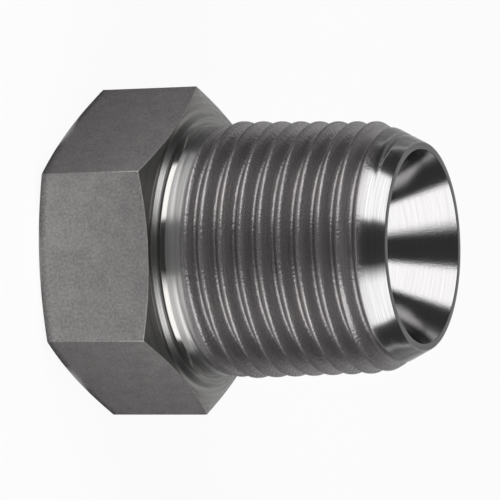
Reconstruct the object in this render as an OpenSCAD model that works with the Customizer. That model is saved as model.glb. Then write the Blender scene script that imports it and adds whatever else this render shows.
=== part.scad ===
// Pipe bushing: a hexagon head with a tapped hole, and a tapered male pipe
// thread that ends in a bevelled nose with a 60 degree cone seat inside.
// It is turned from one piece of hexagon bar, so it is one solid.
// Millimetres. The origin is the centre of the hexagon's end face, and +Z runs
// along the thread's axis to the nose. One flat of the hexagon faces -Y.

/* [Hexagon head] */
// Width across the flats, the spanner size
hex_af = 19; // [18:0.5:24]
// Height from the end face to the shoulder
hex_height = 8; // [6:0.5:14]
// Diameter of the round end face that the end bevel leaves
end_face_d = 18.1; // [16:0.1:18.5]
// Angle of the end bevel to the end face
end_bevel_angle = 15; // [10:1:30]
// Diameter of the round shoulder that the shoulder bevel leaves
shoulder_d = 18.9; // [18.5:0.1:19]
// Angle of the shoulder bevel to the shoulder
shoulder_bevel_angle = 20; // [10:1:30]

/* [Neck] */
// Diameter of the plain collar between the shoulder and the thread
collar_d = 16.7; // [16.2:0.1:16.9]
// Radius of the hollow corner at the shoulder
corner_r = 0.8; // [0.5:0.05:0.8]
// Length of the steep band between the hollow corner and the collar
band_length = 0.25; // [0.15:0.05:0.35]
// Slope of that band to the axis
band_angle = 27; // [20:1:35]

/* [Male thread] */
// Major diameter at the gauge plane
thread_d = 16.662; // [16.5:0.05:17.2]
// Threads to the inch
threads_per_inch = 19; // [18:1:20]
// Distance of the gauge plane from the nose
gauge_length = 6.4; // [5.5:0.1:7.5]
// Length from the shoulder to the nose
male_length = 15.3; // [13:0.1:20]
// Millimetres of length in which the diameter grows by one
taper = 16; // [14:1:20]
// Height above the shoulder at which the groove has faded out
runout_height = 1.25; // [1.1:0.05:2]
// Turns that the groove takes to fade out
runout_turns = 1.3; // [0.5:0.1:1.5]
// Direction in which it has faded out, in degrees from +X
runout_direction = -80; // [-180:5:180]

/* [Nose] */
// Outer diameter of the flat end ring
nose_d = 13.6; // [13.2:0.1:14]
// Slope of the outer bevel to the axis
nose_bevel_angle = 27; // [22:1:32]
// Diameter of the cone seat at its mouth
seat_d = 12.7; // [11:0.1:13]
// Whole angle of the cone seat
seat_angle = 60; // [55:1:75]
// Diameter of the hole through the middle
bore_d = 7; // [4:0.5:8]

/* [Tapped hole] */
// Diameter of the hole at the crests of its thread
tap_minor_d = 11.445; // [9:0.1:12]
// Diameter of the bevel at the hole's mouth
tap_mouth_d = 13.4; // [12.4:0.1:14]
// Depth of the straight hole from the end face
tap_depth = 12; // [8:0.5:13]
// Whole angle of the cone at the hole's bottom
drill_angle = 118; // [90:2:140]

/* [Hidden] */
$fn = 96;
// Length by which a cut runs past a face
cut = 1;
// Length by which the neck and the nose reach into the thread's ends
lap = 0.1;
// Height by which the thread's ends stand over the neck and the nose
rim = 0.03;
// Slope of the short ramp from the collar up to the crests
ramp_slope = 0.2;

// Heights along the axis
shoulder_z = hex_height;
nose_z = shoulder_z + male_length;
gauge_z = nose_z - gauge_length;
runout_z = shoulder_z + runout_height;
collar_r = collar_d / 2;
nose_r = nose_d / 2;

// Neck: the hollow corner turns from the shoulder's face to the steep band
corner_steps = 6;
corner_turn = 90 - band_angle;
band_z = shoulder_z + corner_r * (1 - cos(corner_turn));
band_r = collar_r + band_length * tan(band_angle);
collar_z = band_z + band_length;

// Thread form: flanks at 55 degrees to each other, round crests and roots
inch = 25.4;
pitch = inch / threads_per_inch;
flank_angle = 27.5;
form_r = 0.137329 * pitch;
form_depth = 0.640327 * pitch;
// Half-width and height at which the round root meets a flank
tangent_w = form_r * cos(flank_angle);
tangent_h = form_r * (1 - sin(flank_angle));
// Least half-width of the groove's rows, which keeps them apart where it fades
least_w = 0.1 * pitch;
// Tries in which the groove's edge is found on the tapered surface
edge_tries = 3;

// Thread: its ends lie in the collar and on the nose's bevel
turn_steps = 60;
row_count = 6;
thread_z0 = collar_z + lap;
nose_root_r = crest_r(nose_z) - form_depth;
// Share of the root's step over the nose at which the surface ends
end_share = 0.8;
thread_z1 = nose_z - end_share * (nose_root_r - nose_r) / tan(nose_bevel_angle);
// Turns before and after the run-out that the rows cover
first_turn = floor((thread_z0 - runout_z) / pitch) - 1;
last_turn = ceil((thread_z1 - runout_z) / pitch) + 1;
last_row = (last_turn - first_turn) * row_count;
// Points at one direction: the two ends' and the rows' between them
column = last_row + 3;
// Rows this close to an end are taken as the end itself
end_gap = 0.03;

// Radius of the cone that the crests lie on
function crest_r(z) = thread_d / 2 + (gauge_z - z) / (2 * taper);

// Radius of the nose's bevel
function bevel_r(z) = nose_r + (nose_z - z) * tan(nose_bevel_angle);

// Radius before the groove is cut: the collar, a short ramp, the crests' cone
// and the nose's bevel
function blank_r(z) = min(
    collar_r + rim + ramp_slope * max(0, z - runout_z),
    crest_r(z),
    bevel_r(z) + rim
);

// Share of its full depth that the groove has, this many turns from its start
function share(turns) =
    let (t = min(1, max(0, turns / runout_turns)))
    t * (2 - t);

// Radius of the groove's root, at a height and so many turns from its start
function root_r(z, turns) =
    let (full = crest_r(z) - form_depth, none = blank_r(runout_z))
    full + (none - full) * (1 - share(turns));

// Half-width of the groove at a height over its root, and the reverse
function groove_w(h) =
    h < tangent_h
        ? sqrt(form_r ^ 2 - (form_r - max(0, h)) ^ 2)
        : tangent_w + (h - tangent_h) * tan(flank_angle);
function groove_h(w) =
    w < tangent_w
        ? form_r - sqrt(form_r ^ 2 - w ^ 2)
        : tangent_h + (w - tangent_w) / tan(flank_angle);

// Distance from the groove's middle to its edge on one side
function edge_w(middle, turns, side, guess, tries) =
    let (z = middle + side * guess)
    let (top = min(blank_r(z), crest_r(z) - tangent_h))
    let (w = max(least_w, groove_w(top - root_r(z, turns))))
    tries == 0 ? w : edge_w(middle, turns, side, w, tries - 1);

// Height of a row of the thread's surface, this many turns from its start.
// The rows of one turn are a crest, an edge, a root of three and an edge.
function row_z(row, turns) =
    let (middle = runout_z + pitch * turns)
    let (low_w = edge_w(middle, turns, -1, 0, edge_tries))
    let (high_w = edge_w(middle, turns, 1, 0, edge_tries))
    middle + [
        -0.5 * pitch,
        -low_w,
        -min(tangent_w, low_w / 2),
        0,
        min(tangent_w, high_w / 2),
        high_w
    ][row % row_count];

// Point of a row, at a direction counted in turns
function thread_point(row, direction) =
    let (turns = first_turn + floor(row / row_count) + direction)
    let (z = row_z(row, turns))
    let (w = abs(z - runout_z - pitch * turns))
    let (r = min(blank_r(z), root_r(z, turns) + groove_h(w)))
    ring_point(r, direction, z);

// Point at a radius, a direction counted in turns and a height
function ring_point(r, direction, z) =
    [r * cos(360 * direction), r * sin(360 * direction), z];

// Numbers of the first and the last point at one direction, on the two ends
function start_index(step) = step * column;
function end_index(step) = step * column + column - 1;

// Number of a row's point: an end's point where the row lies past that end
function point_index(points, row, step) =
    step == turn_steps ? point_index(points, row + row_count, 0)
    : row > last_row ? end_index(step)
    : let (index = start_index(step) + 1 + row, z = points[index][2])
        z < thread_z0 + end_gap ? start_index(step)
        : z > thread_z1 - end_gap ? end_index(step)
        : index;

module threaded_shank() {
    points = [
        for (step = [0:turn_steps - 1])
            let (direction = step / turn_steps)
            each [
                ring_point(collar_r + rim, direction, thread_z0),
                for (row = [0:last_row]) thread_point(row, direction),
                ring_point(bevel_r(thread_z1) + rim, direction, thread_z1)
            ]
    ];
    sides = [
        for (step = [0:turn_steps - 1], row = [0:last_row - 1])
            let (a = point_index(points, row, step))
            let (b = point_index(points, row, step + 1))
            let (c = point_index(points, row + 1, step + 1))
            let (d = point_index(points, row + 1, step))
            each [
                if (a != d) [a, d, c],
                if (b != c) [a, c, b]
            ]
    ];
    start = [for (step = [0:turn_steps - 1]) start_index(step)];
    end = [for (step = [turn_steps - 1:-1:0]) end_index(step)];
    rotate([0, 0, runout_direction])
        polyhedron(points, concat(sides, [start, end]));
}

module hexagon_head() {
    point_r = hex_af / sqrt(3);
    end_rise = (point_r - end_face_d / 2) * tan(end_bevel_angle);
    shoulder_drop = (point_r - shoulder_d / 2) * tan(shoulder_bevel_angle);
    intersection() {
        cylinder(h = hex_height, r = point_r, $fn = 6);
        rotate_extrude()
            polygon([
                [0, 0],
                [end_face_d / 2, 0],
                [point_r, end_rise],
                [point_r, shoulder_z - shoulder_drop],
                [shoulder_d / 2, shoulder_z],
                [0, shoulder_z]
            ]);
    }
}

module neck() {
    corner_top_r = band_r + corner_r * sin(corner_turn);
    corner = [
        for (step = [0:corner_steps])
            let (turn = corner_turn * step / corner_steps)
            [
                corner_top_r - corner_r * sin(turn),
                shoulder_z + corner_r * (1 - cos(turn))
            ]
    ];
    rotate_extrude()
        polygon(concat(
            [[0, shoulder_z - cut], [corner_top_r, shoulder_z - cut]],
            corner,
            [
                [collar_r, collar_z],
                [collar_r, thread_z0 + lap],
                [0, thread_z0 + lap]
            ]
        ));
}

module nose() {
    rotate_extrude()
        polygon([
            [0, thread_z1 - lap],
            [bevel_r(thread_z1 - lap), thread_z1 - lap],
            [nose_r, nose_z],
            [0, nose_z]
        ]);
}

module cone_seat() {
    seat_depth = (seat_d - bore_d) / 2 / tan(seat_angle / 2);
    translate([0, 0, nose_z - seat_depth])
        cylinder(
            h = seat_depth + cut,
            d1 = bore_d,
            d2 = seat_d + 2 * cut * tan(seat_angle / 2)
        );
}

module tapped_hole() {
    point = (tap_minor_d - bore_d) / 2 / tan(drill_angle / 2);
    mouth = (tap_mouth_d - tap_minor_d) / 2;
    translate([0, 0, -cut])
        cylinder(h = tap_depth + cut, d = tap_minor_d);
    translate([0, 0, tap_depth])
        cylinder(h = point, d1 = tap_minor_d, d2 = bore_d);
    translate([0, 0, -cut])
        cylinder(h = mouth + cut, d1 = tap_mouth_d + 2 * cut, d2 = tap_minor_d);
}

module bushing() {
    color("dimgray")
        difference() {
            union() {
                hexagon_head();
                neck();
                threaded_shank();
                nose();
            }
            cone_seat();
            tapped_hole();
            translate([0, 0, -cut])
                cylinder(h = nose_z + 2 * cut, d = bore_d);
        }
}

bushing();
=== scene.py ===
"""Looks of the pipe bushing: one turned steel body in a plain studio.

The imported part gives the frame. A finer skin of the same body replaces its one node: rounded edges, a male
thread with round crests and roots, its run-out and the thread inside the tapped hole. Each zone of the skin
takes the finish that its machining leaves. Sizes are in millimetres and the scene is in metres.
"""

from __future__ import annotations

import logging
import math
from collections.abc import Callable
from dataclasses import dataclass, field
from enum import Enum

import bpy
import numpy as np
from mathutils import Matrix, Vector


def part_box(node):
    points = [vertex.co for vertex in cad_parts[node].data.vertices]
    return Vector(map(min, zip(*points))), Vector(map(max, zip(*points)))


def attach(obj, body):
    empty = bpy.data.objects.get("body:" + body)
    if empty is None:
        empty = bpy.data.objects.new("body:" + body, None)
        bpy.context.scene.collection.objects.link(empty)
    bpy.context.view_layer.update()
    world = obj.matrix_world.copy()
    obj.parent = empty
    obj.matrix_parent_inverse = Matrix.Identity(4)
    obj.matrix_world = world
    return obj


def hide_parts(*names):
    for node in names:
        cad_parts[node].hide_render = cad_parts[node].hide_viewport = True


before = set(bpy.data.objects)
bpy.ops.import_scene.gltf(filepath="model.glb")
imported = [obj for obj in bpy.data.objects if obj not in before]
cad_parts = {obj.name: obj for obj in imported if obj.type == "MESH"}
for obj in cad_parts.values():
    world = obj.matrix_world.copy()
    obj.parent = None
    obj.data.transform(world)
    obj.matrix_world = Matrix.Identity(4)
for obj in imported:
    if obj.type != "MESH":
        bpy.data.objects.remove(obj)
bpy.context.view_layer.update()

LOG = logging.getLogger("pipe_bushing")
NODE = "bushing"
BODY = "root"
# One millimetre in metres, and one inch in millimetres
MM = 0.001
INCH = 25.4

Tree = bpy.types.NodeTree
Material = bpy.types.Material
# What an input is linked from: one output, or a node, which gives its first output in use
Source = bpy.types.NodeSocket | bpy.types.Node
Point = tuple[float, float, float]
Face = tuple[int, ...]


class Zone(Enum):
    """Zones of the body's skin, each with its own finish."""

    SKIN = "drawn hexagon skin"
    FACE = "faced end and shoulder"
    NECK = "hollow corner under the collar"
    BAND = "burnished band"
    COLLAR = "turned collar"
    THREAD = "cut male thread"
    BEVEL = "nose bevel"
    RING = "end ring"
    SEAT = "cone seat"
    BORE = "drilled passage"
    TAP = "tapped hole"


class Ray(Enum):
    """Kinds of rays that a studio piece can let pass, by the name of their switch."""

    CAMERA = "visible_camera"
    DIFFUSE = "visible_diffuse"
    SHADOW = "visible_shadow"


def srgb(code: str) -> tuple[float, float, float, float]:
    """Turn an sRGB hex colour into a linear one.

    Args:
        code: Six hex digits.

    Returns:
        Linear red, green, blue and an alpha of 1.
    """
    shares = [int(code[i : i + 2], 16) / 255 for i in (0, 2, 4)]
    linear = [s / 12.92 if s <= 0.04045 else ((s + 0.055) / 1.055) ** 2.4 for s in shares]
    return (linear[0], linear[1], linear[2], 1.0)


def add_node(
    tree: Tree, kind: str, inputs: dict[str | int, object] | None = None, **settings: object
) -> bpy.types.Node:
    """Add a node with its settings, its values and its links.

    Args:
        tree: Node tree that takes the node.
        kind: Kind of shader node.
        inputs: Value of each input, or the source that it is linked from.
        **settings: Properties of the node.

    Returns:
        The new node.
    """
    node = tree.nodes.new(f"ShaderNode{kind}")
    for name, value in settings.items():
        setattr(node, name, value)
    for name, value in (inputs or {}).items():
        if isinstance(value, bpy.types.Node):
            value = next(output for output in value.outputs if output.enabled)
        if isinstance(value, bpy.types.NodeSocket):
            tree.links.new(value, node.inputs[name])
        else:
            node.inputs[name].default_value = value
    return node


def new_material(name: str, shader: Callable[[Tree], Source]) -> Material:
    """Make a material.

    Args:
        name: Name of the material.
        shader: Function that makes its shader in a node tree.

    Returns:
        The material.
    """
    made = bpy.data.materials.new(name)
    made.use_nodes = True
    tree = made.node_tree
    tree.nodes.clear()
    add_node(tree, "OutputMaterial", {"Surface": shader(tree)})
    return made


def mesh_object(
    name: str, points: list[Point], faces: list[Face], materials: list[Material]
) -> bpy.types.Object:
    """Make a mesh object and link it to the scene.

    Args:
        name: Name of the object.
        points: Its points, in metres.
        faces: Point numbers of each face.
        materials: Its materials.

    Returns:
        The object.
    """
    mesh = bpy.data.meshes.new(name)
    mesh.from_pydata(points, [], faces)
    for material in materials:
        mesh.materials.append(material)
    made = bpy.data.objects.new(name, mesh)
    bpy.context.scene.collection.objects.link(made)
    return made


def smooth_min(a: np.ndarray, b: np.ndarray, blend: float) -> np.ndarray:
    """Lower of two heights, with the edge between them rounded where they differ by less than the blend."""
    near = np.maximum(blend - np.abs(a - b), 0.0)
    return np.minimum(a, b) - near * near / (4 * blend)


@dataclass(frozen=True)
class ThreadForm:
    """Round-crested 55 degree pipe thread form."""

    threads_per_inch: float = 19.0
    flank_angle: float = math.radians(27.5)
    # Radius of the crests and roots and depth of the form, as shares of the pitch
    radius_share: float = 0.137329
    depth_share: float = 0.640327

    @property
    def pitch(self) -> float:
        """Distance between two turns."""
        return INCH / self.threads_per_inch

    @property
    def radius(self) -> float:
        """Radius of the round crests and roots."""
        return self.radius_share * self.pitch

    @property
    def depth(self) -> float:
        """Depth of the whole form."""
        return self.depth_share * self.pitch

    @property
    def blend(self) -> float:
        """Blend that drops a crest's edge as far as its true radius does.

        Returns:
            Blend for smooth_min.
        """
        turn = (math.pi / 2 - self.flank_angle) / 2
        reach = self.radius * math.tan(turn)
        return 4 * (self.radius - math.sqrt(self.radius**2 - reach**2))

    def height(self, offset: np.ndarray) -> np.ndarray:
        """Height of the groove's wall over its root.

        Args:
            offset: Distance from the groove's middle, along the axis.

        Returns:
            Height over the root.
        """
        tangent_w = self.radius * math.cos(self.flank_angle)
        tangent_h = self.radius * (1 - math.sin(self.flank_angle))
        inside = np.minimum(offset, tangent_w)
        root = self.radius - np.sqrt(self.radius**2 - inside**2)
        flank = tangent_h + (offset - tangent_w) / math.tan(self.flank_angle)
        return np.where(offset < tangent_w, root, flank)


@dataclass(frozen=True)
class MaleThread:
    """Tapered male pipe thread with a groove that fades out in its last turn."""

    body: Bushing
    form: ThreadForm = ThreadForm()
    # Major diameter at the gauge plane, and that plane's distance from the nose
    diameter: float = 16.662
    gauge_length: float = 6.4
    # Length in which the diameter grows by one
    taper: float = 16.0
    # Height over the hexagon at which the groove has faded out, and the turns that it takes
    runout_height: float = 1.25
    fade_turns: float = 1.3
    # Height over the collar at which the groove's root ends
    rim: float = 0.03
    # Ramp from the collar up to the crests: how long after the origin it starts, and its slope
    ramp_delay: float = 0.95
    ramp_slope: float = 0.6
    # Blends between the ramp and the crests' cone, and between the cone and the nose's bevel
    cone_blend: float = 0.06
    bevel_blend: float = 0.04
    # A row's point this close to an end of the stretch is taken as the end itself
    end_gap: float = 0.03

    # Rows across one pitch, as shares of it: round root, flanks and round crest
    row_shares = (
        -0.5, -0.46, -0.42, -0.378, -0.29, -0.2, -0.122, -0.06,
        0.0, 0.06, 0.122, 0.2, 0.29, 0.378, 0.42, 0.46,
    )

    @property
    def origin(self) -> float:
        """Height at which the groove has faded out."""
        return self.body.hex_height + self.runout_height

    def crest(self, height: np.ndarray | float) -> np.ndarray | float:
        """Radius of the cone that the crests lie on."""
        gauge_height = self.body.length - self.gauge_length
        return self.diameter / 2 + (gauge_height - height) / (2 * self.taper)

    def bevel(self, height: np.ndarray | float) -> np.ndarray | float:
        """Radius of the nose's bevel."""
        slope = math.tan(self.body.nose_bevel_angle)
        return self.body.nose_radius + (self.body.length - height) * slope

    def blank(self, height: np.ndarray) -> np.ndarray:
        """Radius before the groove is cut: collar, short ramp, crests' cone and bevel.

        Args:
            height: Heights of the points.

        Returns:
            Radius at each point.
        """
        risen = np.maximum(0.0, height - self.origin - self.ramp_delay)
        ramp = self.body.collar_radius + self.ramp_slope * risen
        turned = smooth_min(ramp, self.crest(height), self.cone_blend)
        return smooth_min(turned, self.bevel(height), self.bevel_blend)

    def surface(self, height: np.ndarray, turns: np.ndarray, offset: float) -> np.ndarray:
        """Radius of the threaded surface.

        Args:
            height: Heights of the points.
            turns: Turns from the place where the groove has faded out.
            offset: Distance of the row from the groove's middle.

        Returns:
            Radius at each point.
        """
        faded = np.clip(turns / self.fade_turns, 0.0, 1.0)
        share = faded * (2 - faded)
        full = self.crest(height) - self.form.depth
        none = self.body.collar_radius + self.rim
        root = full + (none - full) * (1 - share)
        groove = root + self.form.height(np.full_like(height, offset))
        return smooth_min(groove, self.blank(height), self.form.blend)


@dataclass(frozen=True)
class FemaleThread:
    """Parallel female pipe thread that ends before the hole's plain bottom."""

    body: Bushing
    form: ThreadForm = ThreadForm()
    # Height from which the turns are counted
    origin: float = 0.6
    # Blend between the thread and the bevel at the hole's mouth
    mouth_blend: float = 0.05
    # A row's point this close to an end of the stretch is taken as the end itself
    end_gap: float = 0.02

    # Rows across one pitch, as shares of it: round root, flanks and crest
    row_shares = (-0.5, -0.43, -0.36, -0.24, -0.122, -0.05, 0.05, 0.122, 0.24, 0.36, 0.43)

    def surface(self, height: np.ndarray, turns: np.ndarray, offset: float) -> np.ndarray:
        """Radius of the threaded surface.

        Args:
            height: Heights of the points.
            turns: Turns from the thread's origin, which a parallel thread doesn't need.
            offset: Distance of the row from the groove's middle.

        Returns:
            Radius at each point.
        """
        left = np.clip((self.body.tap_thread_end - height) / self.form.pitch, 0.0, 1.0)
        cut = self.form.depth * left - self.form.height(np.full_like(height, offset))
        groove = self.body.tap_radius + np.maximum(cut, 0.0)
        bevel = self.body.tap_mouth_radius - height
        return -smooth_min(-groove, -bevel, self.mouth_blend)


@dataclass(frozen=True)
class Corner:
    """One corner of the turned outline, at one radius and height or at those of each direction."""

    radius: np.ndarray | float
    height: np.ndarray | float
    # Zone of the stretch after the corner
    zone: Zone
    rounding: float = 0.0
    steps: int = 4
    # Largest share of the shorter stretch beside the corner that its arc takes
    reach_share: float = 0.45


@dataclass
class Skin:
    """Closed surface that is built as rings and helical rows round the Z axis."""

    directions: np.ndarray
    # Turns that a thread's rows start before its stretch and end after it
    spare_turns: int = 2
    points: list[np.ndarray] = field(default_factory=list)
    faces: list[Face] = field(default_factory=list)
    zones: list[Zone] = field(default_factory=list)
    count: int = 0

    def ring(self, radius: np.ndarray | float, height: np.ndarray | float) -> np.ndarray:
        """Add one ring of points.

        Args:
            radius: Radius at each direction.
            height: Height at each direction.

        Returns:
            The numbers of the ring's points.
        """
        angle = self.directions
        made = [radius * np.cos(angle), radius * np.sin(angle), height + 0 * angle]
        self.points.append(np.stack(made, axis=1))
        self.count += len(angle)
        return np.arange(self.count - len(angle), self.count)

    def band(self, low: np.ndarray, high: np.ndarray, zone: Zone) -> None:
        """Join two rings with faces. The ring that comes first along the outline is given first."""
        self.quads([low, np.roll(low, -1), np.roll(high, -1), high], zone)

    def quads(self, corners: list[np.ndarray], zone: Zone) -> None:
        """Add faces and leave out the corners that fall together.

        Args:
            corners: Lists of the first, second, third and fourth corners.
            zone: Zone of the faces.
        """
        for quad in zip(*(numbers.tolist() for numbers in corners)):
            face = tuple(point for i, point in enumerate(quad) if point != quad[i - 1])
            if len(set(face)) == len(face) > 2:
                self.faces.append(face)
                self.zones.append(zone)

    def outline(self, corners: list[Corner]) -> tuple[np.ndarray, np.ndarray]:
        """Add a stretch of turned outline with rounded corners.

        Args:
            corners: Corners along the outline. The first and last are its ends.

        Returns:
            The first and the last ring.
        """
        first = last = self.ring(corners[0].radius, corners[0].height)
        for before, corner, after in zip(corners, corners[1:], corners[2:]):
            for radius, height in self.rounded(before, corner, after):
                new = self.ring(radius, height)
                self.band(last, new, before.zone)
                last = new
        end = self.ring(corners[-1].radius, corners[-1].height)
        self.band(last, end, corners[-2].zone)
        return first, end

    def rounded(self, before: Corner, corner: Corner, after: Corner) -> list[np.ndarray]:
        """Round one corner.

        Args:
            before: Corner before it.
            corner: The corner to round.
            after: Corner after it.

        Returns:
            Radii and heights of each point of the arc.
        """
        level = np.ones_like(self.directions)
        places = (corner, before, after)
        here, back, ahead = (np.stack([p.radius * level, p.height * level]) for p in places)
        if corner.rounding == 0:
            return [here]
        back, ahead = back - here, ahead - here
        shorter = np.minimum(np.hypot(*back), np.hypot(*ahead))
        back, ahead = back / np.hypot(*back), ahead / np.hypot(*ahead)
        half = np.arccos(np.clip((back * ahead).sum(0), -1, 1)) / 2
        reach = np.minimum(corner.rounding / np.tan(half), corner.reach_share * shorter)
        radius = reach * np.tan(half)
        middle = back + ahead
        centre = here + middle / np.hypot(*middle) * (radius / np.sin(half))
        x, y = (here - centre) / np.hypot(*(here - centre))
        side = np.sign(back[0] * ahead[1] - back[1] * ahead[0])
        made = []
        for step in range(corner.steps + 1):
            angle = side * (1 - 2 * step / corner.steps) * (math.pi / 2 - half)
            turned = [x * np.cos(angle) - y * np.sin(angle), y * np.cos(angle) + x * np.sin(angle)]
            made.append(centre + radius * np.stack(turned))
        return made

    def helix(
        self,
        rings: tuple[np.ndarray, np.ndarray],
        limits: tuple[float, float],
        thread: MaleThread | FemaleThread,
        zone: Zone,
    ) -> None:
        """Fill the stretch between two rings with rows that follow a thread.

        Args:
            rings: Rings that the stretch begins and ends at.
            limits: Heights of the two rings.
            thread: Thread that gives the rows.
            zone: Zone of the faces.
        """
        low, high = min(limits), max(limits)
        below, above = rings if limits[0] < limits[1] else reversed(rings)
        pitch = thread.form.pitch
        first_turn = math.floor((low - thread.origin) / pitch) - self.spare_turns
        last_turn = math.ceil((high - thread.origin) / pitch) + self.spare_turns
        around = (self.directions - self.directions[0]) / (2 * math.pi)
        rows = []
        for turn in range(first_turn, last_turn):
            for share in thread.row_shares:
                height = thread.origin + pitch * (turn + around) + share * pitch
                radius = thread.surface(height, turn + around, abs(share) * pitch)
                numbers = self.ring(radius, np.clip(height, low, high))
                numbers = np.where(height < low + thread.end_gap, below, numbers)
                rows.append(np.where(height > high - thread.end_gap, above, numbers))
        table = np.array(rows)
        # After a full turn each row goes on as the same row of the next turn
        wrap = len(thread.row_shares)
        seam = np.append(table[wrap:, 0], np.full(wrap, above[0]))
        after = np.column_stack([table[:, 1:], seam])
        for row in range(len(table) - 1):
            corners = [table[row], after[row], after[row + 1], table[row + 1]]
            if limits[0] > limits[1]:
                corners.reverse()
            self.quads(corners, zone)

    def build(self, name: str, materials: dict[Zone, Material]) -> bpy.types.Object:
        """Make the mesh object.

        Args:
            name: Name of the object.
            materials: Material of each zone.

        Returns:
            The object, linked to the scene.
        """
        points = np.concatenate(self.points) * MM
        used = sorted({point for face in self.faces for point in face})
        numbers = {point: number for number, point in enumerate(used)}
        faces = [tuple(numbers[point] for point in face) for face in self.faces]
        made = mesh_object(name, points[used].tolist(), faces, list(materials.values()))
        order = list(materials)
        slots = [order.index(zone) for zone in self.zones]
        made.data.polygons.foreach_set("material_index", slots)
        made.data.polygons.foreach_set("use_smooth", [True] * len(faces))
        made.data.validate()
        made.data.update()
        LOG.info("%s: %d faces", name, len(faces))
        return made


def polar_parts(tree: Tree) -> tuple[Source, Source, Source]:
    """Make the direction from the axis, the radius and the height of a point in a node tree.

    Args:
        tree: Node tree of a material.

    Returns:
        Sources of the direction, the radius and the height, in metres.
    """
    place = add_node(tree, "TexCoord").outputs["Object"]
    flat = add_node(tree, "VectorMath", {0: place, 1: (1.0, 1.0, 0.0)}, operation="MULTIPLY")
    around = add_node(tree, "VectorMath", {0: flat}, operation="NORMALIZE")
    radius = add_node(tree, "VectorMath", {0: flat}, operation="LENGTH")
    height = add_node(tree, "SeparateXYZ", {"Vector": place}).outputs["Z"]
    return around, radius, height


@dataclass(frozen=True)
class TurnedSteel:
    """Plain carbon steel cut on a lathe: bare metal with fine marks that run round the axis."""

    name: str
    # Darkest and lightest colour
    shades: tuple[str, str]
    roughness: float
    # Distance between two tool marks and their depth
    feed: float
    depth: float
    # The marks stretch a highlight across themselves, a quarter turn from the way round the axis
    anisotropy: float = 0.0
    stretch_turn: float = 0.25
    # Size and depth of the torn grain that a dull tool leaves
    tear: float = 0.25
    tear_depth: float = 0.0
    metallic: float = 1.0
    # 1 where the surface widens towards the nose, as in the seat, and -1 elsewhere
    widening: float = -1.0
    # Steps of the noise field in one radian: a mark fades after about two thirds of a radian
    break_up: float = 1.5
    # Finer layers in the noise of the marks and of the grain
    mark_detail: float = 2.0
    tear_detail: float = 3.0
    # Values of the marks' noise that take the darkest and the lightest colour
    shade_range: tuple[float, float] = (0.3, 0.7)

    def marks(self, tree: Tree) -> Source:
        """Make the tool marks: noise that is drawn out round the axis and counted along the outline.

        Args:
            tree: Node tree of a material.

        Returns:
            Source of the marks' height, from 0 to 1.
        """
        around, radius, height = polar_parts(tree)
        slow = add_node(tree, "VectorMath", {0: around, 1: (self.break_up,) * 3}, operation="MULTIPLY")
        along = add_node(tree, "Math", {0: radius, 1: self.widening, 2: height}, operation="MULTIPLY_ADD")
        count = add_node(tree, "Math", {0: along, 1: 1 / (self.feed * MM)}, operation="MULTIPLY")
        upright = add_node(tree, "CombineXYZ", {"Z": count})
        way = add_node(tree, "VectorMath", {0: slow, 1: upright}, operation="ADD")
        return add_node(tree, "TexNoise", {"Vector": way, "Scale": 1.0, "Detail": self.mark_detail})

    def shader(self, tree: Tree) -> Source:
        """Make the finish in a node tree.

        Args:
            tree: Node tree of a material.

        Returns:
            Source of the shader.
        """
        marks = self.marks(tree)
        low, high = self.shade_range
        shade = add_node(tree, "MapRange", {"Value": marks, "From Min": low, "From Max": high})
        dark, light = (srgb(code) for code in self.shades)
        colour = add_node(tree, "Mix", {"Factor": shade, "A": dark, "B": light}, data_type="RGBA")
        place = add_node(tree, "TexCoord").outputs["Object"]
        grain = {"Vector": place, "Scale": 1 / (self.tear * MM), "Detail": self.tear_detail}
        torn = {"Height": add_node(tree, "TexNoise", grain), "Distance": self.tear_depth * MM}
        cut = {"Height": marks, "Distance": self.depth * MM, "Normal": add_node(tree, "Bump", torn)}
        steel = {
            "Metallic": self.metallic,
            "Roughness": self.roughness,
            "Anisotropic": self.anisotropy,
            "Anisotropic Rotation": self.stretch_turn,
            "Base Color": colour,
            "Normal": add_node(tree, "Bump", cut),
            "Tangent": add_node(tree, "Tangent", direction_type="RADIAL", axis="Z"),
        }
        return add_node(tree, "BsdfPrincipled", steel)


@dataclass(frozen=True)
class ThreadFinish:
    """Finish of the threaded stretch: the collar's below it, the bevel's where the nose is bevelled."""

    body: Bushing
    collar: TurnedSteel
    thread: TurnedSteel
    bevel: TurnedSteel
    # Heights between which the collar's finish gives way to the thread's
    collar_end: float = 9.6
    thread_start: float = 9.8
    # Depths under the bevel's cone between which its finish gives way to the thread's
    bevel_end: float = 0.03
    bevel_start: float = 0.012
    # Heights between which the bevel grows bright, past the thread's last turn
    bevel_low: float = 21.3
    bevel_high: float = 22.2

    @property
    def name(self) -> str:
        """Name of the finish, which is the thread's own."""
        return self.thread.name

    def shader(self, tree: Tree) -> Source:
        """Make the finish in a node tree.

        Args:
            tree: Node tree of a material.

        Returns:
            Source of the shader.
        """
        _, radius, height = polar_parts(tree)
        shares = []
        for start, end in ((self.collar_end, self.thread_start), (self.bevel_low, self.bevel_high)):
            limits = {"Value": height, "From Min": start * MM, "From Max": end * MM}
            shares.append(add_node(tree, "MapRange", limits, interpolation_type="SMOOTHSTEP"))
        turned = {0: shares[0], 1: self.collar.shader(tree), 2: self.thread.shader(tree)}
        lower = add_node(tree, "MixShader", turned)
        slope = math.tan(self.body.nose_bevel_angle)
        cone = self.body.nose_radius + self.body.length * slope
        reach = add_node(tree, "Math", {0: height, 1: slope, 2: radius}, operation="MULTIPLY_ADD")
        under = {"From Min": (cone - self.bevel_end) * MM, "From Max": (cone - self.bevel_start) * MM}
        on_bevel = add_node(tree, "MapRange", {"Value": reach, **under})
        bright = add_node(tree, "Math", {0: on_bevel, 1: shares[1]}, operation="MULTIPLY")
        return add_node(tree, "MixShader", {0: bright, 1: lower, 2: self.bevel.shader(tree)})


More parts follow.
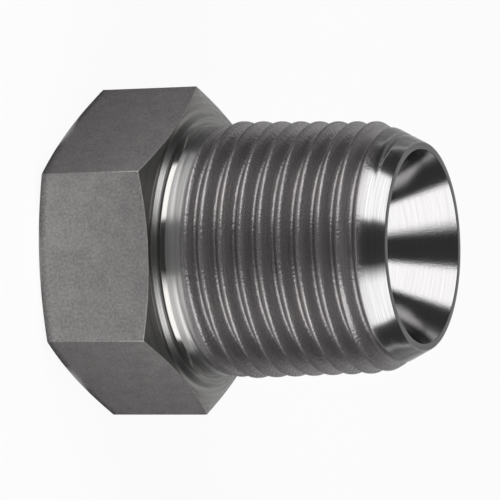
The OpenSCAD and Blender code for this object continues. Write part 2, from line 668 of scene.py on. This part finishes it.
@dataclass(frozen=True)
class DrawnSkin:
    """Cold-drawn hexagon bar with its dull, finely mottled grey skin and painted shade at the back edge."""

    body: Bushing
    name: str = "drawn_steel_skin"
    dark: str = "979494"
    light: str = "c8c4c4"
    # Colour of the painted shade along the back edge
    edge: str = "767474"
    metallic: float = 1.0
    roughness: float = 0.42
    # Sizes of the fine grain and of the soft blotches, and the blotches' share
    grain: float = 0.17
    blotch: float = 1.1
    blotch_share: float = 0.35
    grain_depth: float = 0.006
    # Finer layers in the noise of the grain and of the blotches, and how strong they are in the grain
    grain_detail: float = 4.0
    grain_layers: float = 0.6
    blotch_detail: float = 3.0
    # How far the noise goes from its middle to reach the darkest and the lightest colour
    spread: float = 0.25
    # Width of the painted shade along the back edge and how far the grain frays it
    edge_width: float = 0.55
    fray: float = 0.5

    def shader(self, tree: Tree) -> Source:
        """Make the finish in a node tree.

        Args:
            tree: Node tree of a material.

        Returns:
            Source of the shader.
        """
        place = add_node(tree, "TexCoord").outputs["Object"]
        fine = {"Scale": 1 / (self.grain * MM), "Detail": self.grain_detail, "Roughness": self.grain_layers}
        grain = add_node(tree, "TexNoise", {"Vector": place, **fine})
        soft = {"Scale": 1 / (self.blotch * MM), "Detail": self.blotch_detail}
        blotch = add_node(tree, "TexNoise", {"Vector": place, **soft})
        both = add_node(tree, "Math", {0: blotch, 1: self.blotch_share, 2: grain}, operation="MULTIPLY_ADD")
        middle = (1 + self.blotch_share) / 2
        limits = {"From Min": middle - self.spread, "From Max": middle + self.spread}
        shade = add_node(tree, "MapRange", {"Value": both, **limits})
        mottle = {"Factor": shade, "A": srgb(self.dark), "B": srgb(self.light)}
        colour = add_node(tree, "Mix", mottle, data_type="RGBA")
        # Painted shade darkens the colour along the back edge
        painted_shade = {"Factor": self.painted_edge_shade(tree, grain), "A": colour, "B": srgb(self.edge)}
        steel = {
            "Metallic": self.metallic,
            "Roughness": self.roughness,
            "Base Color": add_node(tree, "Mix", painted_shade, data_type="RGBA"),
            "Normal": add_node(tree, "Bump", {"Height": grain, "Distance": self.grain_depth * MM}),
        }
        return add_node(tree, "BsdfPrincipled", steel)

    def painted_edge_shade(self, tree: Tree, grain: Source) -> Source:
        """Make the share of the painted shade along the back edge, which follows the end bevel's curve.

        Args:
            tree: Node tree of the material.
            grain: Source of the grain.

        Returns:
            Source of a share that falls from 1 at the edge to 0 over the edge's width.
        """
        _, radius, height = polar_parts(tree)
        slope = math.tan(self.body.end_bevel_angle)
        over = add_node(tree, "Math", {0: radius, 1: -slope, 2: height}, operation="MULTIPLY_ADD")
        frayed = add_node(tree, "Math", {0: grain, 1: self.fray * MM, 2: over}, operation="MULTIPLY_ADD")
        edge = (self.fray / 2 - self.body.end_face_radius * slope) * MM
        limits = {"From Min": edge + self.edge_width * MM, "From Max": edge}
        return add_node(tree, "MapRange", {"Value": frayed, **limits})


@dataclass(frozen=True)
class Bushing:
    """The bushing's body. Its width across flats and its length come from the frame."""

    hex_width: float
    length: float
    hex_height: float = 8.0
    end_face_radius: float = 9.05
    end_bevel_angle: float = math.radians(15)
    shoulder_radius: float = 9.45
    shoulder_bevel_angle: float = math.radians(20)
    collar_radius: float = 8.35
    # The hollow corner under the collar: a slope up from the shoulder, a narrow step and the bright band
    slope_radius: float = 9.16
    slope_angle: float = math.radians(38)
    step_height: float = 0.36
    band_angle: float = math.radians(27)
    band_length: float = 0.29
    # Direction in which the male thread's groove has faded out
    runout_direction: float = math.radians(-80)
    # Nose, cone seat and passage
    nose_radius: float = 6.8
    nose_bevel_angle: float = math.radians(27)
    seat_radius: float = 6.35
    seat_half_angle: float = math.radians(30)
    passage_radius: float = 3.5
    # Tapped hole, and the height at which its thread ends
    tap_radius: float = 11.445 / 2
    tap_mouth_radius: float = 6.7
    tap_depth: float = 12.0
    tap_thread_end: float = 10.9
    drill_half_angle: float = math.radians(59)
    # Radii of the rounded edges: the hexagon's corners and edges, the faces' rims and the neck
    corner_rounding: float = 0.1
    edge_rounding: float = 0.08
    face_rounding: float = 0.15
    band_foot_rounding: float = 0.04
    band_top_rounding: float = 0.03
    # Radii of the rounded edges: the nose, the seat's mouth and the hole's bottom, and the passage
    nose_rounding: float = 0.06
    mouth_rounding: float = 0.05
    passage_rounding: float = 0.12
    # Height by which the threaded rows start over the band and past the tapped thread's end
    lap: float = 0.1
    # Height at which the tapped hole's rows end, in the bevel of its mouth
    mouth_height: float = 0.1
    # Share of the root's step over the nose at which the threaded rows end
    nose_share: float = 0.8
    # Degrees between two directions, and from a hexagon's corner to the closer ones beside it
    direction_step: float = 2.0
    corner_directions: tuple[float, ...] = (0.13, 0.26, 0.39, 0.6)

    @classmethod
    def from_frame(cls) -> Bushing:
        """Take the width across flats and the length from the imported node."""
        low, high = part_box(NODE)
        return cls(hex_width=(high.y - low.y) / MM, length=high.z / MM)

    @property
    def band_top(self) -> float:
        """Height at which the bright band meets the collar."""
        return self.hex_height + self.step_height + self.band_length

    def directions(self) -> np.ndarray:
        """Directions round the axis, closer together at the hexagon's corners.

        Returns:
            Angles in radians, from the run-out's direction through one turn.
        """
        even = np.arange(0.0, 360.0, self.direction_step)
        near = np.array([0.0, *self.corner_directions])
        corners = [corner + side * near for corner in range(0, 360, 60) for side in (-1, 1)]
        start = math.degrees(self.runout_direction)
        every = (np.concatenate([even, *corners]) - start) % 360
        return np.radians(np.unique(np.round([0.0, *every], 4))) + self.runout_direction

    def hexagon(self, angle: np.ndarray) -> np.ndarray:
        """Radius of the hexagon with rounded corners.

        Args:
            angle: Directions round the axis.

        Returns:
            Distance of the hexagon's side from the axis.
        """
        half_side = math.pi / 6
        rounding = self.corner_rounding
        to_corner = np.abs((angle + half_side) % (2 * half_side) - half_side)
        side = self.hex_width / 2 / np.cos(half_side - to_corner)
        centre = (self.hex_width / 2 - rounding) / math.cos(half_side)
        across = np.minimum(centre * np.sin(to_corner), rounding)
        arc = centre * np.cos(to_corner) + np.sqrt(rounding**2 - across**2)
        reach, width = centre + rounding * math.cos(half_side), rounding * math.sin(half_side)
        return np.where(to_corner < math.atan2(width, reach), arc, side)

    def head_and_neck(self, skin: Skin) -> tuple[np.ndarray, np.ndarray]:
        """Build the end face, the hexagon, the shoulder and the neck.

        Args:
            skin: Skin that takes the surface.

        Returns:
            First and last ring.
        """
        side = self.hexagon(skin.directions)
        top = self.hex_height
        end_rise = (side - self.end_face_radius) * math.tan(self.end_bevel_angle)
        drop = (side - self.shoulder_radius) * math.tan(self.shoulder_bevel_angle)
        step = top + self.step_height
        slope_end = self.slope_radius - self.step_height * math.tan(self.slope_angle)
        band_start = self.collar_radius + self.band_length * math.tan(self.band_angle)
        corners = [
            Corner(self.tap_mouth_radius, 0.0, Zone.FACE),
            Corner(self.end_face_radius, 0.0, Zone.FACE, self.face_rounding),
            Corner(side, end_rise, Zone.SKIN, self.edge_rounding),
            Corner(side, top - drop, Zone.FACE, self.edge_rounding),
            Corner(self.shoulder_radius, top, Zone.FACE, self.face_rounding),
            Corner(self.slope_radius, top, Zone.NECK, self.face_rounding),
            Corner(slope_end, step, Zone.NECK, self.edge_rounding),
            Corner(band_start, step, Zone.BAND, self.band_foot_rounding),
            Corner(self.collar_radius, self.band_top, Zone.COLLAR, self.band_top_rounding),
            Corner(self.collar_radius, self.band_top + self.lap, Zone.COLLAR),
        ]
        return skin.outline(corners)

    def nose_and_bore(self, skin: Skin, bevel_start: float) -> tuple[np.ndarray, np.ndarray]:
        """Build the nose's bevel, the end ring, the cone seat, the passage and the hole's bottom.

        Args:
            skin: Skin that takes the surface.
            bevel_start: Height at which the bevel leaves the thread.

        Returns:
            First and last ring.
        """
        top = self.length
        seat_depth = (self.seat_radius - self.passage_radius) / math.tan(self.seat_half_angle)
        drill_depth = (self.tap_radius - self.passage_radius) / math.tan(self.drill_half_angle)
        corners = [
            Corner(MaleThread(self).bevel(bevel_start), bevel_start, Zone.BEVEL),
            Corner(self.nose_radius, top, Zone.RING, self.nose_rounding),
            Corner(self.seat_radius, top, Zone.SEAT, self.mouth_rounding),
            Corner(self.passage_radius, top - seat_depth, Zone.BORE, self.passage_rounding),
            Corner(self.passage_radius, self.tap_depth + drill_depth, Zone.BORE, self.mouth_rounding),
            Corner(self.tap_radius, self.tap_depth, Zone.TAP, self.mouth_rounding),
            Corner(self.tap_radius, self.tap_thread_end + self.lap, Zone.TAP),
        ]
        return skin.outline(corners)

    def build(self) -> bpy.types.Object:
        """Build the whole skin and dress it.

        Returns:
            The bushing's visible piece.
        """
        skin = Skin(self.directions())
        male = MaleThread(self)
        head_start, head_end = self.head_and_neck(skin)
        root_step = male.crest(self.length) - male.form.depth - self.nose_radius
        nose_start = self.length - self.nose_share * root_step / math.tan(self.nose_bevel_angle)
        nose_first, bore_end = self.nose_and_bore(skin, nose_start)
        threaded = (self.band_top + self.lap, nose_start)
        skin.helix((head_end, nose_first), threaded, male, Zone.THREAD)
        mouth = skin.ring(self.tap_mouth_radius - self.mouth_height, self.mouth_height)
        tapped = (self.tap_thread_end + self.lap, self.mouth_height)
        skin.helix((bore_end, mouth), tapped, FemaleThread(self), Zone.TAP)
        skin.band(mouth, head_start, Zone.TAP)
        made = skin.build("bushing_body", self.finishes())
        weighted = made.modifiers.new("crisp_edges", "WEIGHTED_NORMAL")
        weighted.keep_sharp = True
        return made

    def finishes(self) -> dict[Zone, Material]:
        """Make the material of each zone, all in plain carbon steel.

        Returns:
            Material of each zone.
        """
        # Turned: fine marks that stretch every highlight along the axis, so that it shines evenly
        collar = TurnedSteel(
            name="turned_steel", shades=("a6a5a5", "bdbcbb"), roughness=0.32,
            feed=0.09, depth=0.004, anisotropy=0.9,
        )
        # Thread cut with a dull point: darker, with a torn grain that scatters light and breaks up the
        # highlights, drawn coarser than real so that it shows
        thread = TurnedSteel(
            name="thread_cut_steel", shades=("767475", "8e8a8a"), roughness=0.27,
            feed=0.12, depth=0.001, anisotropy=0.7, tear=0.2, tear_depth=0.04, metallic=0.78,
        )
        # Turned with a fine feed: smooth, so that the bevel shows the soft boxes as sharp bands
        bevel = TurnedSteel(
            name="fine_turned_steel", shades=("8b8a8a", "9e9e9e"), roughness=0.14, feed=0.075, depth=0.0012
        )
        by_zone = {
            Zone.SKIN: DrawnSkin(self),
            # Faced across its end: close rings in a soft grey sheen
            Zone.FACE: TurnedSteel(
                name="faced_steel", shades=("727170", "9b9a98"), roughness=0.26,
                feed=0.055, depth=0.005, anisotropy=0.4,
            ),
            # Turned with a form tool, which rubs in the hollow corner: dark, with soft glints
            Zone.NECK: TurnedSteel(
                name="form_turned_steel", shades=("757574", "8d8c8b"), roughness=0.24, feed=0.08, depth=0.003
            ),
            # Burnished by the tool's heel: nearly a mirror, a thin bright line round the neck
            Zone.BAND: TurnedSteel(
                name="burnished_steel", shades=("959391", "9d9b99"), roughness=0.12, feed=0.1, depth=0.0005
            ),
            Zone.COLLAR: collar,
            Zone.THREAD: ThreadFinish(self, collar, thread, bevel),
            Zone.BEVEL: bevel,
            # Faced at the nose with a worn tool: a matt, darker ring
            Zone.RING: TurnedSteel(
                name="worn_faced_steel", shades=("5e5e5e", "727272"), roughness=0.3, feed=0.08, depth=0.003
            ),
            # Reamed cone seat: nearly a mirror, with faint marks, drawn coarser than real to show
            Zone.SEAT: TurnedSteel(
                name="reamed_steel", shades=("949393", "9a9999"), roughness=0.12,
                feed=0.2, depth=0.0004, tear=0.1, tear_depth=0.006, widening=1.0,
            ),
            # Drilled: the roughest wall, a dull grey
            Zone.BORE: TurnedSteel(
                name="drilled_steel", shades=("6f6d6b", "83817f"), roughness=0.35, feed=0.15, depth=0.002
            ),
            # Tapped: clean flanks, soft in the shade of the hole
            Zone.TAP: TurnedSteel(
                name="tapped_steel", shades=("767472", "8a8886"), roughness=0.3, feed=0.15, depth=0.001
            ),
        }
        return {zone: new_material(finish.name, finish.shader) for zone, finish in by_zone.items()}


@dataclass(frozen=True)
class Camera:
    """The photograph's camera. The standing part lies across the picture, because the camera is rolled."""

    aim: Point = (0.016, -0.012, 10.97)
    distance: float = 248.585
    azimuth: float = math.radians(1.709)
    elevation: float = math.radians(23.842)
    roll: float = math.radians(88.888)
    lens: float = 270.05
    sensor: float = 36.0
    clip_start: float = 10.0

    def build(self) -> None:
        """Make the scene's camera."""
        across, along = math.sin(self.azimuth), math.cos(self.azimuth)
        level = math.cos(self.elevation)
        forward = Vector((across * level, along * level, -math.sin(self.elevation)))
        flat_right = Vector((along, -across, 0.0))
        flat_up = flat_right.cross(forward)
        right = math.cos(self.roll) * flat_right + math.sin(self.roll) * flat_up
        up = -math.sin(self.roll) * flat_right + math.cos(self.roll) * flat_up
        place = Vector(self.aim) * MM - forward * self.distance * MM
        lens = bpy.data.cameras.new("camera")
        lens.lens = self.lens
        lens.sensor_width = self.sensor
        lens.clip_start = self.clip_start * MM
        made = bpy.data.objects.new("camera", lens)
        turned = Matrix((right, up, -forward)).transposed().to_4x4()
        made.matrix_world = Matrix.Translation(place) @ turned
        bpy.context.scene.collection.objects.link(made)
        bpy.context.scene.camera = made
        LOG.info("camera: %.0f mm from its aim", self.distance)


def sweep(
    profile: list[tuple[float, float]], azimuths: tuple[float, float], steps: int
) -> tuple[list[Point], list[Face]]:
    """Turn an outline round the part. Azimuth 0 is the camera's side and 90 is +X.

    Args:
        profile: Radius and height of each point of the outline.
        azimuths: Azimuths at which it starts and ends, in degrees.
        steps: Number of steps between them.

    Returns:
        Points in metres, and faces.
    """
    points = [
        (radius * MM * math.sin(a), -radius * MM * math.cos(a), height * MM)
        for a in np.radians(np.linspace(*azimuths, steps + 1))
        for radius, height in profile
    ]
    count = len(profile)
    faces = [
        (a, a + 1, a + count + 1, a + count)
        for step in range(steps)
        for a in range(step * count, (step + 1) * count - 1)
    ]
    return points, faces


def stage_piece(
    name: str, shape: tuple[list[Point], list[Face]], material: Material, hidden: tuple[Ray, ...] = ()
) -> None:
    """Make a piece of the studio.

    Args:
        name: Name of the piece.
        shape: Its points and faces.
        material: Its material.
        hidden: Kinds of rays that it lets pass.
    """
    made = mesh_object(name, *shape, [material])
    for ray in hidden:
        setattr(made, ray.value, False)
    LOG.info("%s: %d faces", name, len(shape[1]))


def side_azimuth(tree: Tree) -> Source:
    """Make a point's azimuth in a node tree, from 0 on the camera's side to pi behind the part.

    Args:
        tree: Node tree of a studio piece.

    Returns:
        Source of the azimuth, the same on both sides.
    """
    place = add_node(tree, "TexCoord").outputs["Object"]
    parts = add_node(tree, "SeparateXYZ", {"Vector": place}).outputs
    front = add_node(tree, "Math", {0: parts["Y"], 1: -1.0}, operation="MULTIPLY")
    azimuth = add_node(tree, "Math", {0: parts["X"], 1: front}, operation="ARCTAN2")
    return add_node(tree, "Math", {0: azimuth}, operation="ABSOLUTE")


@dataclass(frozen=True)
class SoftBox:
    """Curved soft box that stands round the part and shines, but isn't seen by the camera."""

    name: str
    # Azimuths of its inner and outer edge, and degrees over which its light fades there
    azimuths: tuple[float, float]
    fades: tuple[float, float]
    strength: float = 3.0
    distance: float = 320.0
    low: float = 2.0
    high: float = 430.0
    steps: int = 24

    def build(self) -> None:
        """Make the soft box."""
        profile = [(self.distance, self.low), (self.distance, self.high)]
        shape = sweep(profile, self.azimuths, self.steps)
        cloth = new_material("lit_diffuser_cloth", self.shader)
        stage_piece(self.name, shape, cloth, hidden=(Ray.CAMERA, Ray.SHADOW))

    def shader(self, tree: Tree) -> Source:
        """Make lit diffuser cloth: even in the middle and fading to the sides, so no band ends hard.

        Args:
            tree: Node tree of a material.

        Returns:
            Source of the shader.
        """
        away = side_azimuth(tree)
        level = self.strength
        for azimuth, fade in zip(self.azimuths, (self.fades[0], -self.fades[1])):
            edge = math.radians(abs(azimuth))
            limits = {"Value": away, "From Min": edge, "From Max": edge + math.radians(fade)}
            share = add_node(tree, "MapRange", limits, interpolation_type="SMOOTHSTEP")
            level = add_node(tree, "Math", {0: share, 1: level}, operation="MULTIPLY")
        return add_node(tree, "Emission", {"Strength": level})


@dataclass(frozen=True)
class Card:
    """Card that lies on the floor round the part and can turn up at its end. Only the metal shows it."""

    name: str
    # Azimuths of its two sides, and distances of its near and far end
    azimuths: tuple[float, float]
    ends: tuple[float, float]
    colour: str
    # Its colour behind the part, and the azimuths between which it changes
    rear_colour: str = ""
    change: tuple[float, float] = (100.0, 165.0)
    # Height of the card, and of its turned-up end
    rise: float = 0.2
    rim: float = 0.2
    steps: int = 24

    def build(self) -> None:
        """Make the card."""
        near, far = self.ends
        profile = [(near, self.rise), (far, self.rise)]
        if self.rim > self.rise:
            profile.append((far, self.rim))
        shape = sweep(profile, self.azimuths, self.steps)
        card = new_material("matt_card", self.shader)
        stage_piece(self.name, shape, card, hidden=(Ray.CAMERA, Ray.DIFFUSE, Ray.SHADOW))

    def shader(self, tree: Tree) -> Source:
        """Make matt card, an even grey in the metal, which can change on the way behind the part.

        Args:
            tree: Node tree of a material.

        Returns:
            Source of the shader.
        """
        start, end = (math.radians(azimuth) for azimuth in self.change)
        limits = {"Value": side_azimuth(tree), "From Min": start, "From Max": end}
        share = add_node(tree, "MapRange", limits, interpolation_type="SMOOTHSTEP")
        greys = {"Factor": share, "A": srgb(self.colour), "B": srgb(self.rear_colour or self.colour)}
        return add_node(tree, "BsdfDiffuse", {"Color": add_node(tree, "Mix", greys, data_type="RGBA")})


@dataclass(frozen=True)
class RoomLight:
    """Soft patch of light in the room, by the direction in which it lies."""

    level: float
    # How far up, and how far to the back, a direction points where the light begins and where it is full
    up: tuple[float, float]
    back: tuple[float, float]


@dataclass(frozen=True)
class Studio:
    """Pale floor that turns up into a low backdrop, two soft boxes, cards for the metal and a dim room."""

    floor_radius: float = 600.0
    cove_radius: float = 60.0
    backdrop_height: float = 110.0
    floor_steps: int = 96
    cove_steps: int = 8
    # The floor lies this far under the part, so that the two never fall together
    gap: float = 0.01
    paper: str = "f4f4f4"
    # Share of the floor's look that is plain white; the rest shows light and shadow
    white_share: float = 0.92
    room_level: float = 0.1
    # A light overhead, and the lit wall behind the part, which the end ring and the shoulder show
    overhead: RoomLight = RoomLight(level=0.18, up=(0.6, 0.95), back=(-0.65, -0.15))
    wall: RoomLight = RoomLight(level=0.9, up=(0.68, 0.5), back=(0.35, 1.05))
    # Distances at which the cards start, meet and end
    card_start: float = 9.7
    card_middle: float = 27.0
    card_end: float = 300.0

    def build(self) -> None:
        """Build the floor, the room, the cards and the soft boxes."""
        self.floor()
        self.room()
        near = (self.card_start, self.card_middle)
        far = (self.card_middle, self.card_end)
        # The side cards turn up at their ends and grow pale behind the part
        side = {"ends": far, "colour": "5c5c5c", "rear_colour": "f0f0f0", "rim": 50.0}
        pieces = [
            Card(name="middle_card", azimuths=(-27.0, 17.0), ends=far, colour="303030"),
            Card(name="near_card", azimuths=(-32.0, 32.0), ends=near, colour="cbcbcb"),
            Card(name="left_near_card", azimuths=(-180.0, -32.0), ends=near, colour="8a8a8a"),
            Card(name="right_near_card", azimuths=(32.0, 180.0), ends=near, colour="989898"),
            Card(name="left_card", azimuths=(-170.0, -90.0), **side),
            Card(name="right_card", azimuths=(90.0, 170.0), **side),
            SoftBox(name="soft_box_left", azimuths=(-28.0, -87.0), fades=(6.0, 6.0)),
            SoftBox(name="soft_box_right", azimuths=(14.0, 85.0), fades=(24.0, 6.0)),
        ]
        for piece in pieces:
            piece.build()
        bpy.context.scene.view_settings.view_transform = "Standard"

    def floor(self) -> None:
        """Make the floor and its backdrop: a disc, a cove and a low wall."""
        radius, cove = self.floor_radius, self.cove_radius
        turns = [math.pi / 2 * step / self.cove_steps for step in range(self.cove_steps + 1)]
        profile = [
            (radius + cove * math.sin(turn), cove * (1 - math.cos(turn)) - self.gap) for turn in turns
        ]
        profile.append((radius + cove, self.backdrop_height - self.gap))
        points, faces = sweep(profile, (0.0, 360.0), self.floor_steps)
        faces.append(tuple(range(0, self.floor_steps * len(profile), len(profile))))
        stage_piece("floor", (points, faces), new_material("white_paper", self.paper_shader))

    def paper_shader(self, tree: Tree) -> Source:
        """Make matt white paper that stays white to the camera and in the metal, and keeps shadows.

        Args:
            tree: Node tree of a material.

        Returns:
            Source of the shader.
        """
        path = add_node(tree, "LightPath").outputs
        seen = 0.0
        for ray in ("Is Camera Ray", "Is Glossy Ray", "Is Transmission Ray"):
            seen = add_node(tree, "Math", {0: path[ray], 1: seen}, operation="ADD", use_clamp=True)
        share = add_node(tree, "Math", {0: seen, 1: self.white_share}, operation="MULTIPLY")
        paper = add_node(tree, "BsdfDiffuse", {"Color": srgb(self.paper)})
        white = add_node(tree, "Emission", {"Color": srgb("ffffff"), "Strength": 1.0})
        return add_node(tree, "MixShader", {0: share, 1: paper, 2: white})

    def room(self) -> None:
        """Make the dim room, with a light overhead and a lit wall behind the part."""
        world = bpy.data.worlds.new("room")
        bpy.context.scene.world = world
        world.use_nodes = True
        tree = world.node_tree
        tree.nodes.clear()
        way = add_node(tree, "TexCoord").outputs["Generated"]
        parts = add_node(tree, "SeparateXYZ", {"Vector": way}).outputs
        level = self.room_level
        for light in (self.overhead, self.wall):
            patch = light.level
            for axis, (start, full) in (("Z", light.up), ("Y", light.back)):
                limits = {"Value": parts[axis], "From Min": start, "From Max": full}
                share = add_node(tree, "MapRange", limits, interpolation_type="SMOOTHSTEP")
                patch = add_node(tree, "Math", {0: share, 1: patch}, operation="MULTIPLY")
            level = add_node(tree, "Math", {0: patch, 1: level}, operation="ADD")
        air = add_node(tree, "Background", {"Strength": level})
        add_node(tree, "OutputWorld", {"Surface": air})


def main() -> None:
    """Build the camera, the studio and the bushing."""
    logging.basicConfig(level=logging.INFO, format="%(name)s: %(message)s")
    Camera().build()
    Studio().build()
    body = Bushing.from_frame().build()
    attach(body, BODY)
    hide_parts(NODE)


if __name__ == "__main__":
    main()
